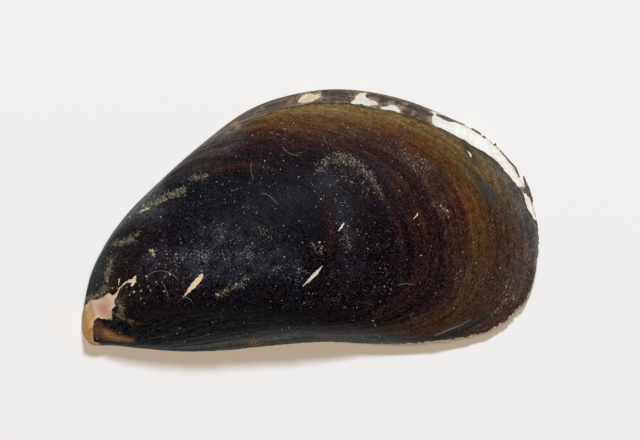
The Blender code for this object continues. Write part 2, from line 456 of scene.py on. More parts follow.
def writeMesh(sheet, points, t, size, attributes):
    mesh = sheet.data
    mesh.vertices.foreach_set("co", (points * mm).ravel())
    around = np.interp(t, np.append(fineT, spans), marginArc / marginArc[-1])
    corners = np.zeros(len(mesh.loops), int)
    mesh.loops.foreach_get("vertex_index", corners)
    mesh.uv_layers[0].name = "growthMap"
    mesh.uv_layers["growthMap"].uv.foreach_set("vector", np.column_stack([around, size])[corners].ravel())
    for name, values in attributes.items():
        mesh.attributes.new(name, "FLOAT", "POINT").data.foreach_set("value", np.asarray(values, float))
    mesh.update()


def outerSheet():
    sheet = unitGrid("valve", valve["columns"], valve["rings"], valve["marginRings"])
    columnShare, ringShare = gridShares(sheet)
    t = np.interp(columnShare, columnShares, columnPlaces)
    size = np.interp(ringShare, ringShares, ringSizes)
    points = growthPoint(t, size)
    normals, spacing = outwardNormal(t, size)
    x, y = points[:, 0], points[:, 1]
    away = edgeDistance(x, y)
    strip = np.where(size > 0.8, stripField(t, away), -1.0)
    bare = bareField(t, size, x, y, np.where(size > 0.8, away, 9.0))

    relief = growthRelief(t, size, spacing)
    for apart, depth, layer in valve["dents"]:
        relief += depth * (softNoise(x / apart, y / apart, layer) - 0.5)
    scars = np.max([strokeField(x, y, stroke) for stroke in wear["scars"]], axis=0)
    relief -= valve["skinDepth"] * smoothStep(np.maximum(bare, scars), -0.05, 0.12)
    relief -= valve["stripDepth"] * smoothStep(strip, -0.06, 0.06)
    relief += valve["foldHeight"] * smoothStep(strokeField(x, y, wear["fold"]), -0.25, 0.1)
    relief *= plateau(size, valve["beakFade"], valve["rimFade"])
    points = points + normals * relief[:, None]
    points[:, :2] += marginInward(t) * (marginNotch(t) * smoothStep(size, 0.962, 0.998))[:, None]
    points[:, 2] = np.maximum(points[:, 2], 0.0)

    margin = marginPoint(t)
    angle = np.degrees(np.arctan2(margin[:, 1], margin[:, 0]))  # as seen from the beak
    leftward = smoothStep(y - 0.9 * x, 16.1, 19.6)
    early = (1 - smoothStep(angle, 3, 14)) * plateau(size, (0.48, 0.60), (0.68, 0.80))
    late = (1 - smoothStep(angle, 5, 15)) * plateau(size, (0.77, 0.82), (0.90, 0.94))
    attributes = {name: featureField(x, y, dirt[name], soft) for name, soft in dirt["soft"].items()}
    attributes.update({
        "bare": bare,
        "strip": np.clip(strip, -1, 1),
        "band": size - 0.045 * smoothStep(angle, 24, 4) * smoothStep(size, 0.86, 1.0),
        "hingeSide": smoothStep(angle, 29, 43),
        "leftSide": (1 - smoothStep(x, -11.0, -7.5)) * leftward,
        "oliveSide": smoothStep(angle, 14, 26) * (1 - 0.6 * smoothStep(angle, 42, 52)),
        "lowSide": 1 - smoothStep(angle, 2, 20),
        "haze": (1 - smoothStep(x, -22.0, -18.5)) * smoothStep(size, 0.32, 0.46) * leftward,
        "flank": (1 - smoothStep(angle, -4, 6)) * np.where(t > 12, smoothStep(t, 21.0, 22.8), 1.0),
        "shade": early + 0.95 * late,
        "lineRoom": np.minimum(1.0, spacing / wear["fullSpacing"]),
        "limeTone": limeTone(x, y, strip),
        "rust": featureField(x, y, wear["rust"], 0.8),
        "stain": smoothStep(strokeField(x, y, wear["stain"]), -0.5, 0.3),
    })
    writeMesh(sheet, points, t, size, attributes)
    return sheet, list(attributes)


def limeTone(x, y, strip):  # 0 white, 0.14 grey, 0.4 cream, 0.75 pink, 1 tan
    tone = 0.42 - 0.36 * np.exp(-((x - 0.4) ** 2 + (y + 7.3) ** 2) / 6.0)
    beak = 1 - smoothStep(np.hypot(x + 28.6, y + 13.0), 3.2, 4.4)
    rosy = 0.55 + 0.22 * np.exp(-((x + 27.4) ** 2 + (y + 11.7) ** 2) / 1.1)
    rosy = rosy + (1.0 - rosy) * smoothStep(-(x + 0.25 * (y + 13.0)), 28.3, 29.4)
    tone = tone * (1 - beak) + beak * rosy
    white = smoothStep(strip, -0.3, 0.0) * (1 - beak)
    return tone * (1 - white) + white * (
        0.14 * (1 - smoothStep(x, 14.0, 21.0)) + 0.14 * (1 - smoothStep(x, 1.0, 4.0)))


def nicks(t, kind):  # their depth in mm
    count, layer, rare, deep = valve[kind]
    return np.maximum(0, lineNoise(t, count, layer) - rare) * deep


def marginNotch(t):  # how far the margin is worn back, in mm
    rough = plateau(t, valve["roughStart"], valve["roughEnd"])
    corner = plateau(t, valve["cornerStart"], valve["cornerEnd"])
    uneven = 0.35 + 1.1 * lineNoise(t, 2.3, 24)
    edge = rough * uneven * (nicks(t, "notches") + nicks(t, "fringe")) * (0.45 + 0.7 * corner)
    return edge + corner * nicks(t, "chips") + 0.02


def marginInward(t):  # unit direction into the outline, as seen from above
    step = marginPoint(t + 0.05) - marginPoint(t - 0.05)
    step /= np.linalg.norm(step, axis=1)[:, None]
    return np.column_stack([step[:, 1], -step[:, 0]])


def innerSheet(names):  # the inside out to the rim, and the rim's own flat face as its last row
    sheet = unitGrid("valveInside", valve["columns"], valve["innerRings"], 1)
    rimStart = 1 - 1 / valve["innerRings"]
    for face in sheet.data.polygons:
        face.material_index = 2 if face.center.y > rimStart - 0.5 else 1
    columnShare, ringShare = gridShares(sheet)
    t = np.interp(columnShare, columnShares, columnPlaces)
    size = np.minimum(1.0, ringShare / rimStart) ** 0.9
    anchor = np.array(growth["innerAnchor"]) - [*outlineCentre, 0.0]
    thin = smoothStep(size, 0.82, 1.0)[:, None]
    scale = np.array(growth["innerScale"]) * (1 - thin) + np.array(valve["rimScale"]) * thin
    points = anchor + (growthPoint(t, size) - anchor) * scale
    normals, _ = outwardNormal(t, size)
    x, y = points[:, 0], points[:, 1]
    away = edgeDistance(x, y)
    muscle = strokeField(x, y, valve["muscle"])
    line = 5.2 - 1.5 * smoothStep(x, 5, 20) - away
    relief = valve["muscleHeight"] * smoothStep(muscle, -0.35, 0.35) + 0.05 * np.exp(-((line / 0.5) ** 2))
    relief += 0.08 * (softNoise(x / 3.0, y / 3.0, 31) - 0.5)
    relief *= plateau(size, (0.05, 0.2), (0.95, 1.0))
    points = points + normals * relief[:, None]
    worn = marginInward(t) * marginNotch(t)[:, None]
    points[:, :2] += worn * smoothStep(size, 0.93, 1.0)[:, None]
    outermost = growthPoint(t, np.ones(len(t)))
    outermost[:, :2] += worn
    across = np.clip((ringShare - rimStart) / (1 - rimStart), 0.0, 1.0)[:, None]
    points = points * (1 - across) + outermost * across
    points[:, 2] = np.maximum(points[:, 2], 0.0)
    empty = np.zeros(len(t))
    attributes = dict.fromkeys(names, empty)
    attributes.update(bare=empty + 1, strip=empty - 1, band=size, lineRoom=empty + 1)
    attributes.update(dust=np.clip(muscle, -1, 1), crust=np.clip(line, -3, 3))
    writeMesh(sheet, points, t, size, attributes)
    return sheet


def buildValve(skin, nacre, rim):
    outer, names = outerSheet()
    inner = innerSheet(names)
    for finish in (skin, nacre, rim):
        outer.data.materials.append(finish)
        inner.data.materials.append(finish)
    makeActive(outer)
    inner.select_set(True)
    bpy.ops.object.join()
    shell = bpy.context.object
    editMesh("VERT", "SELECT")
    bpy.ops.mesh.remove_doubles(threshold=1e-6)
    bpy.ops.mesh.normals_make_consistent(inside=False)
    bpy.ops.object.mode_set(mode="OBJECT")
    bpy.ops.object.shade_smooth_by_angle(angle=math.radians(valve["sharpest"]))
    return shell


def paint(red, green, blue):  # a screen colour as the linear colour that a node wants
    share = [value / 255 for value in (red, green, blue)]
    return (*[s / 12.92 if s <= 0.04045 else ((s + 0.055) / 1.055) ** 2.4 for s in share], 1.0)


class Field:  # a number, place or colour that nodes work out; arithmetic with it adds nodes
    def __init__(self, tree, socket):
        self.tree = tree
        self.socket = socket

    def __add__(self, other):
        return calculate(self.tree, "ADD", self, other)

    def __sub__(self, other):
        return calculate(self.tree, "SUBTRACT", self, other)

    def __rsub__(self, other):
        return calculate(self.tree, "SUBTRACT", other, self)

    def __mul__(self, other):
        return calculate(self.tree, "MULTIPLY", self, other)

    def atLeast(self, other):
        return calculate(self.tree, "MAXIMUM", self, other)

    def remap(self, low, high, newLow=0.0, newHigh=1.0):  # eases from one range to another
        inputs = {"Value": self, "From Min": low, "From Max": high, "To Min": newLow, "To Max": newHigh}
        made = node(self.tree, "ShaderNodeMapRange", inputs, interpolation_type="SMOOTHSTEP")
        return Field(self.tree, made.outputs["Result"])


def node(tree, kind, inputs=None, **settings):
    made = tree.nodes.new(kind)
    for name, value in settings.items():
        setattr(made, name, value)
    for name, value in (inputs or {}).items():
        if isinstance(value, Field):
            tree.links.new(value.socket, made.inputs[name])
        else:
            made.inputs[name].default_value = value
    return made


def calculate(tree, operation, *values):
    return Field(tree, node(tree, "ShaderNodeMath", dict(enumerate(values)), operation=operation).outputs[0])


def vector(operation, first, *others):
    made = node(first.tree, "ShaderNodeVectorMath", dict(enumerate((first, *others))), operation=operation)
    return Field(first.tree, made.outputs["Value" if operation in ("DOT_PRODUCT", "LENGTH") else "Vector"])


def scaled(source, factor):
    tree = source.tree if isinstance(source, Field) else factor.tree
    made = node(tree, "ShaderNodeVectorMath", {0: source, "Scale": factor}, operation="SCALE")
    return Field(tree, made.outputs["Vector"])


def blend(mask, first, second):  # the second colour where the mask is 1
    shown = [paint(*colour) if isinstance(colour, tuple) else colour for colour in (first, second)]
    made = node(mask.tree, "ShaderNodeMix", {0: mask, 6: shown[0], 7: shown[1]}, data_type="RGBA")
    return Field(mask.tree, made.outputs[2])


def tinted(mask, colour, factors):
    return blend(mask, colour, vector("MULTIPLY", colour, factors))


def noise(place, scale, detail=2.0, roughness=0.5, output="Fac"):
    inputs = {"Vector": place, "Scale": scale, "Detail": detail, "Roughness": roughness}
    return Field(place.tree, node(place.tree, "ShaderNodeTexNoise", inputs).outputs[output])


def attribute(tree, name):
    return Field(tree, node(tree, "ShaderNodeAttribute", attribute_name=name).outputs["Fac"])


def flatPoint(x, y):
    return Field(x.tree, node(x.tree, "ShaderNodeCombineXYZ", {"X": x, "Y": y}).outputs["Vector"])


def split(source):  # the X, Y and Z of a place
    made = node(source.tree, "ShaderNodeSeparateXYZ", {0: source})
    return [Field(source.tree, part) for part in made.outputs]


def growthMap(tree):  # places round the margin and out from the beak, both from 0 to 1
    return split(Field(tree, node(tree, "ShaderNodeUVMap", uv_map="growthMap").outputs["UV"]))[:2]


def objectMm(tree):  # places on the piece, in mm
    return scaled(Field(tree, node(tree, "ShaderNodeTexCoord").outputs["Object"]), 1000.0)


def ramp(factor, stops):
    made = node(factor.tree, "ShaderNodeValToRGB", {"Fac": factor})
    steps = made.color_ramp.elements
    while len(steps) < len(stops):
        steps.new(0.5)
    for step, (position, colour) in zip(steps, stops):
        step.position = position
        step.color = paint(*colour)
    return Field(factor.tree, made.outputs["Color"])


def startGroup(name, places, numbers):
    group = bpy.data.node_groups.new(name, "ShaderNodeTree")
    for title in places + numbers:
        kind = "NodeSocketVector" if title in places else "NodeSocketFloat"
        group.interface.new_socket(title, in_out="INPUT", socket_type=kind)
    given = group.nodes.new("NodeGroupInput").outputs
    return group, {socket.name: Field(group, socket) for socket in given}


def finishGroup(group, **results):
    for title in results:
        group.interface.new_socket(title, in_out="OUTPUT", socket_type="NodeSocketFloat")
    node(group, "NodeGroupOutput", results)
    return group


def placeGroup(tree, name, **inputs):
    placed = node(tree, "ShaderNodeGroup", inputs, node_tree=groups[name])
    return {socket.name: Field(tree, socket) for socket in placed.outputs}


def startMaterial(name, roughness, specular):
    material = bpy.data.materials.new(name)
    material.use_nodes = True
    shader = material.node_tree.nodes["Principled BSDF"]
    shader.inputs["Roughness"].default_value = roughness
    shader.inputs["Specular IOR Level"].default_value = specular
    return material, material.node_tree, shader


def linkLook(shader, colour, height, strength, distance):
    bump = node(colour.tree, "ShaderNodeBump", {"Height": height, "Strength": strength, "Distance": distance})
    colour.tree.links.new(colour.socket, shader.inputs["Base Color"])
    colour.tree.links.new(bump.outputs["Normal"], shader.inputs["Normal"])


# Growth lines: stripes along the margin, by how many there are from the beak out. Height is in mm.
lines = {
    "fineCount": 230.0,
    "middleCount": 78.0,
    "broadCount": 26.0,
    "glintStreakCount": 52.0,
    "fibreCount": 420.0,
    "tintCount": 120.0,
    "fineHeight": 0.026,
    "middleHeight": 0.050,
}


def growthLinesGroup():
    group, given = startGroup("growthLines", [], ["Around", "Growth", "Room"])

    def stripes(aroundCount, kind, detail, start=0.0, roughness=0.5):
        place = flatPoint(given["Around"] * aroundCount + start, given["Growth"] * lines[kind + "Count"])
        return noise(place, 1.0, detail, roughness)

    fine = stripes(40.0, "fine", 1.5)
    middle = stripes(7.0, "middle", 2.0)
    height = fine * lines["fineHeight"] + middle * lines["middleHeight"]
    return finishGroup(
        group,
        Lines=(fine * 0.5 + middle * 0.5).remap(0.36, 0.64),
        Middle=middle.remap(0.35, 0.65),
        Broad=stripes(4.0, "broad", 4.0, 83.0, 0.65).remap(0.33, 0.67),
        Streaks=stripes(7.0, "glintStreak", 4.0, 107.0, 0.7).remap(0.51, 0.68),
        Fibres=stripes(150.0, "fibre", 1.0, 31.0).remap(0.33, 0.67),
        Tint=stripes(26.0, "tint", 2.0, 57.0).remap(0.48, 0.72),
        Height=height * given["Room"])


def specksGroup():  # small spots that cover more as Amount goes from 0 to 1
    group, given = startGroup("specks", ["Place"], ["PerMm", "Amount"])
    past = noise(given["Place"], given["PerMm"], 3.0, 0.65) - given["Amount"].remap(0.0, 1.0, 0.74, 0.47)
    return finishGroup(group, Mask=past.remap(-0.02, 0.10))


def tornLineGroup():  # how far inside a line with two half widths a place lies, in mm
    group, given = startGroup("tornLine", ["Place", "Start", "End"], ["StartWidth", "EndWidth"])
    reach = vector("SUBTRACT", given["Place"], given["Start"])
    line = vector("SUBTRACT", given["End"], given["Start"])
    share = calculate(group, "DIVIDE", vector("DOT_PRODUCT", reach, line), vector("DOT_PRODUCT", line, line))
    share = Field(group, node(group, "ShaderNodeClamp", {"Value": share}).outputs["Result"])
    away = vector("LENGTH", vector("SUBTRACT", reach, scaled(line, share)))
    width = (given["EndWidth"] - given["StartWidth"]) * share + given["StartWidth"]
    return finishGroup(group, Inside=width - away)


# The horny skin and what shows where it is gone. Colours are given as they look on screen; those in lists
# are bands of growth, or steps of the lime's tone, by their share.
skin = {
    "rear": [
        (0.10, (50, 38, 32)), (0.20, (38, 29, 29)), (0.28, (31, 25, 29)), (0.40, (25, 23, 30)),
        (0.50, (24, 20, 26)), (0.56, (20, 13, 18)), (0.60, (24, 17, 20)), (0.655, (26, 17, 20)),
        (0.69, (21, 12, 15)), (0.705, (26, 14, 16)), (0.715, (35, 21, 19)), (0.73, (27, 14, 17)),
        (0.765, (43, 25, 20)), (0.785, (34, 19, 20)), (0.80, (44, 27, 25)), (0.835, (54, 35, 29)),
        (0.855, (66, 42, 28)), (0.87, (84, 55, 26)), (0.885, (80, 53, 28)), (0.90, (66, 45, 33)),
        (0.915, (60, 43, 34)), (0.935, (72, 57, 48)), (0.955, (92, 83, 76)), (0.985, (118, 110, 100)),
    ],
    "hinge": [
        (0.30, (36, 33, 35)), (0.46, (26, 26, 30)), (0.52, (22, 22, 26)), (0.535, (28, 25, 28)),
        (0.56, (20, 16, 20)), (0.60, (30, 22, 22)), (0.625, (26, 20, 22)), (0.66, (36, 25, 26)),
        (0.69, (42, 28, 27)), (0.715, (48, 33, 29)), (0.745, (58, 38, 30)), (0.775, (75, 48, 32)),
        (0.795, (88, 59, 37)), (0.82, (95, 66, 38)), (0.845, (99, 73, 44)), (0.865, (115, 91, 54)),
        (0.89, (118, 99, 60)), (0.91, (104, 88, 60)), (0.96, (84, 80, 74)), (1.00, (86, 86, 80)),
    ],
    # lighter grey towards the rim: partly the skin's grey margin, partly a painted reflection of the pale
    # floor on the steep slope
    "left": [
        (0.10, (60, 60, 60)), (0.20, (46, 45, 46)), (0.28, (34, 29, 32)), (0.40, (40, 38, 41)),
        (0.46, (28, 28, 30)), (0.51, (26, 25, 29)), (0.55, (33, 29, 31)), (0.59, (52, 42, 41)),
        (0.61, (42, 34, 35)), (0.65, (58, 48, 48)), (0.69, (62, 50, 47)), (0.73, (66, 58, 56)),
        (0.77, (72, 70, 65)), (0.81, (84, 82, 77)), (0.90, (90, 92, 88)), (1.00, (102, 106, 104)),
    ],
    # lighter and bluer towards the rim: partly the skin's grey margin, partly a painted reflection of the
    # pale floor on the steep flank
    "flank": [
        (0.20, (30, 28, 31)), (0.45, (28, 27, 31)), (0.70, (32, 33, 37)), (0.775, (40, 43, 47)),
        (0.825, (53, 60, 65)), (0.875, (71, 79, 83)), (0.925, (90, 97, 98)), (1.00, (108, 110, 103)),
    ],
    "lime": [
        (0.00, (233, 230, 222)), (0.14, (206, 206, 196)), (0.28, (198, 182, 156)), (0.40, (230, 206, 162)),
        (0.55, (220, 194, 172)), (0.75, (196, 148, 124)), (1.00, (216, 170, 110)),
    ],
    "limeEdge": (226, 208, 182),
    "cover": {  # how far these colours hide what lies under them
        "olive": 0.6, "shade": 0.14, "lip": 0.75, "tail": 0.8, "stars": 0.5, "crust": 0.68, "grime": 0.6,
    },
    "greyer": (1.30, 1.32, 1.50),  # this and the next three multiply the colour
    "redder": (1.16, 0.84, 0.80),
    "bluer": (0.80, 0.96, 1.12),
    "soiled": (0.72, 0.60, 0.46),
    "darkest": (0.0015, 0.001, 0.0015),  # linear: nothing on the skin is darker
    "grime": (96, 82, 68),
    "shade": (11, 8, 12),
    # painted shade along the step down into the worn strip
    "lip": (30, 24, 22),
    "amber": (88, 54, 26),
    "olive": (110, 88, 44),
    # painted glints of reflection along crowded growth lines
    "glintStreak": (80, 92, 98),
    "slate": (46, 51, 53),
    "fold": (150, 156, 154),
    "tail": (70, 56, 48),
    "rust": (58, 38, 31),
    "haze": (98, 101, 98),
    # the skin's blue-grey film, which also paints a sheen in the middle of the valve
    "film": (60, 64, 76),
    "muted": (63, 47, 41),
    "low": (34, 33, 39),
    "grit": (30, 29, 32),  # how much lighter or darker the finest specks are
    "gritShare": 0.18,
    "stars": (146, 146, 148),
    "dust": (150, 138, 120),
    "crust": (142, 134, 110),
    "strip": (120, 102, 86),
    "stripDark": (68, 57, 50),
    "stripTan": (156, 134, 108),
    "brown": (184, 141, 97),
    "darkBrown": (112, 80, 64),
    "roughness": 0.46,
    "specular": 0.05,
}


def skinMaterial():
    material, tree, shader = startMaterial("musselSkin", skin["roughness"], skin["specular"])
    cover = skin["cover"]
    place = objectMm(tree)
    flatPlace = vector("MULTIPLY", place, (1.0, 1.0, 0.0))
    around, out = growthMap(tree)
    room, lowSide, film, crust, limeTone = [
        attribute(tree, name) for name in ("lineRoom", "lowSide", "film", "crust", "limeTone")]
    drawn = placeGroup(tree, "lines", Around=around, Growth=noise(place, 0.3, 1.0) * 0.008 + out, Room=room)
    patches = noise(place, 0.45, 3.0)
    crowded = 1.0 - room
    notLeft = 1.0 - attribute(tree, "leftSide")

    def specks(perMm, amount):
        return placeGroup(tree, "specks", Place=place, PerMm=perMm, Amount=amount)["Mask"]

    def within(where, stroke):  # how far inside a stroke a place lies, in mm
        nearest = None
        for (ax, ay, aWidth), (bx, by, bWidth) in zip(stroke, stroke[1:]):
            part = placeGroup(tree, "tornLine", Place=where, Start=(ax, ay, 0.0), End=(bx, by, 0.0),
                              StartWidth=aWidth, EndWidth=bWidth)["Inside"]
            nearest = nearest.atLeast(part) if nearest else part
        return nearest

    # Colour bands of growth.
    band = attribute(tree, "band") + (drawn["Middle"] - 0.5) * 0.010
    colour = blend(attribute(tree, "hingeSide"), ramp(band, skin["rear"]), ramp(band, skin["hinge"]))
    # The left slope, with a painted reflection of the pale floor near the rim.
    colour = blend(attribute(tree, "leftSide"), colour, ramp(band, skin["left"]))
    amber = drawn["Middle"].remap(0.55, 0.95) * out.remap(0.6, 0.85) * patches.remap(0.35, 0.65, 0.05, 0.28)
    colour = blend(amber * notLeft, colour, skin["amber"])
    olive = band.remap(0.88, 0.915) * band.remap(0.985, 0.94) * attribute(tree, "oliveSide") * notLeft
    colour = blend(olive * cover["olive"], colour, skin["olive"])
    colour = blend(attribute(tree, "shade") * cover["shade"], colour, skin["shade"])
    muted = band.remap(0.82, 0.85) * band.remap(0.98, 0.94) * lowSide.remap(0.35, 0.8, 0.0, 0.65)
    colour = blend(muted, colour, skin["muted"])
    colour = blend(lowSide * band.remap(0.88, 0.78, 0.0, 0.42), colour, skin["low"])
    # The low flank, with a painted reflection of the pale floor near the rim.
    colour = blend(attribute(tree, "flank"), colour, ramp(band, skin["flank"]))
    colour = tinted(drawn["Tint"] * out.remap(0.45, 0.75, 0.3, 0.6), colour, skin["greyer"])

    # Growth lines, and what varies over and across them.
    contrast = out.remap(0.25, 0.65, 0.10, 0.20)
    tone = (drawn["Broad"] * 2.0 - 1.0) * crowded.remap(0.1, 0.7, 0.12, 0.55)
    tone = tone + (drawn["Lines"] * 2.0 - 1.0) * contrast + 1.0
    colour = scaled(colour, tone * (drawn["Fibres"] * (contrast * 2.0) + 0.82))
    colour = scaled(colour, noise(place, 1.3, 3.0).remap(0.3, 0.7, 0.80, 1.20))
    hues = noise(place, 0.24, 3.0, 0.6)
    redder = hues.remap(0.50, 0.66, 0.0, 0.45) * notLeft * band.remap(0.86, 0.93, 1.0, 0.25)
    colour = tinted(redder, colour, skin["redder"])
    colour = tinted(hues.remap(0.46, 0.32, 0.0, 0.8), colour, skin["bluer"])
    colour = blend(attribute(tree, "rust"), colour, skin["rust"])
    haze = attribute(tree, "haze") * noise(place, 2.0, 5.0, 0.75).remap(0.38, 0.60, 0.14, 0.82)
    colour = blend(haze, colour, skin["haze"])
    mottle = noise(place, 3.2, 3.0).remap(0.3, 0.7, -1.0, 1.0) * out.remap(0.45, 0.72, 0.42, 0.16)
    colour = scaled(colour, mottle + 1.0)
    grit = noise(place, 3.9, 3.0, 0.75).remap(0.25, 0.75, -1.22, 0.78)
    colour = scaled(colour, grit * skin["gritShare"] + 1.0)
    colour = vector("ADD", colour, scaled(paint(*skin["grit"])[:3], grit))
    colour = vector("MAXIMUM", colour, skin["darkest"])
    # Bluish streaks where growth lines crowd, and threads on the low side: painted glints of reflection.
    glintStreaks = drawn["Streaks"] * crowded.remap(0.25, 0.75, 0.0, 0.5) * out.remap(0.5, 0.85, 0.95, 1.6)
    colour = blend(glintStreaks, colour, skin["glintStreak"])
    glintThreads = drawn["Fibres"].remap(0.55, 1.0) * crowded.remap(0.3, 0.8, 0.0, 0.6)
    glintThreads = glintThreads * noise(place, 0.9, 3.0).remap(0.42, 0.62) * lowSide
    colour = blend(glintThreads, colour, skin["glintStreak"])

    # The worn strip along the hinge side, with painted shade along its stepped edge.
    stripTone = drawn["Lines"] * 0.5 + drawn["Broad"] * 0.5
    stripLines = blend(stripTone.remap(0.2, 0.8), skin["stripDark"], skin["strip"])
    stripLines = blend(noise(place, 0.9, 4.0, 0.65).remap(0.50, 0.64) * 0.55, stripLines, skin["stripTan"])
    stripEdge = attribute(tree, "strip") + (noise(place, 3.0) - 0.5) * 0.3
    stripMask = stripEdge.remap(-0.05, 0.08)
    # A dark band just outside the worn strip: painted shade along the step down into it.
    lip = stripEdge.remap(-0.32, -0.06) * (1.0 - stripEdge.remap(-0.04, 0.10))
    colour = blend(stripMask, colour, stripLines)
    colour = blend(lip * cover["lip"], colour, skin["lip"])

    # Slate patches, the fold, torn skin, the brown stain at the beak, film with its painted sheen, crust and
    # dust.
    jitter = scaled(vector("SUBTRACT", noise(place, 2.6, 3.0, 0.6, "Color"), (0.5, 0.5, 0.5)), 0.45)
    tornPlace = vector("ADD", flatPlace, vector("MULTIPLY", jitter, (1.0, 1.0, 0.0)))
    slate = attribute(tree, "slate") * noise(place, 2.2, 5.0, 0.7).remap(0.34, 0.56, 0.15, 1.0)
    colour = blend(slate, colour, skin["slate"])
    fold = within(flatPlace, wear["fold"]).remap(-0.08, 0.04) * patches.remap(0.3, 0.6, 0.3, 0.8)
    colour = blend(fold, colour, skin["fold"])
    tail = within(flatPlace, wear["tail"]).remap(-0.06, 0.04)
    colour = blend(tail * cover["tail"], colour, skin["tail"])
    brown = blend(split(tornPlace)[0].remap(-27.9, -26.9), skin["darkBrown"], skin["brown"])
    stain = attribute(tree, "stain") * noise(place, 2.4, 4.0, 0.7).remap(0.38, 0.58, 0.45, 1.0)
    colour = blend(stain, colour, brown)
    # Blue-grey film, partly a painted sheen of the lamp's broad highlight.
    filmAndSheenMask = film * noise(place, 0.8, 4.0, 0.6).remap(0.35, 0.7, 0.02, 0.36)
    colour = blend(filmAndSheenMask * noise(place, 3.6, 2.0).remap(0.35, 0.65, 0.4, 1.3), colour, skin["film"])
    starAmount = lowSide * 0.10 + (film * 0.22 + noise(place, 0.35, 2.0).remap(0.4, 0.7, 0.10, 0.44))
    colour = blend(specks(4.4, starAmount) * cover["stars"], colour, skin["stars"])
    crustMask = specks(3.2, crust) * crust.remap(0.0, 0.5)
    colour = blend(crustMask * cover["crust"], colour, skin["crust"])
    dustAmount = lowSide * 0.10 + (attribute(tree, "dust") + patches.remap(0.4, 0.75, 0.06, 0.30))
    dustMask = specks(4.2, dustAmount)
    dustDepth = noise(place, 1.1, 3.0).remap(0.35, 0.65) * 0.45 + 0.25
    colour = blend(dustMask * dustDepth, colour, skin["dust"])

    # Where the skin is gone the lime shows.
    bare = attribute(tree, "bare") + (noise(place, 1.9, 5.0, 0.75) - 0.5) * 0.62
    for stroke in wear["scars"]:
        bare = bare.atLeast(within(tornPlace, stroke))
    bareMask = bare.remap(-0.02, 0.04)
    halo = bare.remap(-0.55, -0.03, 0.0, 0.8) * stripMask * noise(place, 1.1, 4.0, 0.7).remap(0.40, 0.58)
    colour = blend(halo, colour, skin["stripTan"])
    lime = blend(bare.remap(0.50, 0.08, 0.0, 0.5), ramp(limeTone, skin["lime"]), skin["limeEdge"])
    ribs = noise(flatPoint(around * 260.0, out * 12.0), 1.0, 2.0).remap(0.35, 0.65, -0.10, 0.10)
    ribs = ribs * limeTone.remap(0.45, 0.7) + 1.0
    lime = scaled(lime, ribs * noise(place, 1.6, 5.0, 0.65).remap(0.3, 0.7, 0.88, 1.04))
    lime = tinted(noise(place, 0.7, 5.0, 0.7).remap(0.54, 0.68) * 0.45, lime, skin["soiled"])
    lime = blend(specks(2.7, 0.09) * cover["grime"], lime, skin["grime"])
    colour = blend(bareMask, colour, lime)

    rough = dustMask.remap(0.0, 1.0, skin["roughness"], 0.75)
    rough = rough.atLeast(bareMask * 0.62).atLeast(crustMask * 0.9)
    dull = lowSide * band.remap(0.90, 0.74, 0.0, 0.9)
    shine = dull * -skin["specular"] + skin["specular"]
    height = drawn["Height"] + noise(place, 6.0, 3.0) * 0.03
    height = height + dustMask * 0.012 + crustMask * 0.05 - bareMask * 0.05
    linkLook(shader, colour, height, 1.0, mm)
    tree.links.new(rough.socket, shader.inputs["Roughness"])
    tree.links.new(shine.socket, shader.inputs["Specular IOR Level"])
    return material


# The inside, which the photograph doesn't show: pearly, with a blue border and a muscle scar.
pearl = {
    "middle": (216, 218, 226),
    "warm": (226, 214, 214),
    "cool": (176, 196, 220),
    "scar": (150, 160, 196),
    "border": (44, 46, 82),
    "roughness": 0.22,
    "specular": 0.5,
    "coat": 0.5,
    "coatRoughness": 0.12,
}


def nacreMaterial():
    material, tree, shader = startMaterial("musselPearl", pearl["roughness"], pearl["specular"])
    place = objectMm(tree)
    around, out = growthMap(tree)
    drawn = placeGroup(tree, "lines", Around=around, Growth=out, Room=0.4)
    colour = blend(noise(place, 0.12, 3.0).remap(0.35, 0.65), pearl["warm"], pearl["middle"])
    colour = blend(noise(place, 0.22, 2.0).remap(0.45, 0.7) * 0.7, colour, pearl["cool"])
    colour = blend(attribute(tree, "dust").remap(-0.3, 0.3) * 0.7, colour, pearl["scar"])
    border = attribute(tree, "crust") + (noise(place, 0.5, 4.0) - 0.5) * 2.2
    colour = blend(border.remap(-0.4, 1.2), colour, pearl["border"])
    colour = scaled(colour, drawn["Lines"].remap(0.0, 1.0, 0.93, 1.05))
    shader.inputs["Coat Weight"].default_value = pearl["coat"]
    shader.inputs["Coat Roughness"].default_value = pearl["coatRoughness"]
    linkLook(shader, colour, drawn["Height"] + noise(place, 1.2, 2.0) * 0.05, 0.6, mm)
    return material


def limeMaterial(name, colours, perMm, roughness):  # chalky stuff in two tones, with a third for grime
    material, tree, shader = startMaterial(name, roughness, 0.25)
    place = objectMm(tree)
    shade = noise(place, perMm, 4.0, 0.6)
    grime = placeGroup(tree, "specks", Place=place, PerMm=perMm * 1.7, Amount=0.3)["Mask"]
    colour = blend(grime * 0.6, blend(shade.remap(0.35, 0.65), colours[0], colours[1]), colours[2])
    linkLook(shader, colour, shade, 0.5, 0.05 * mm)
    return material


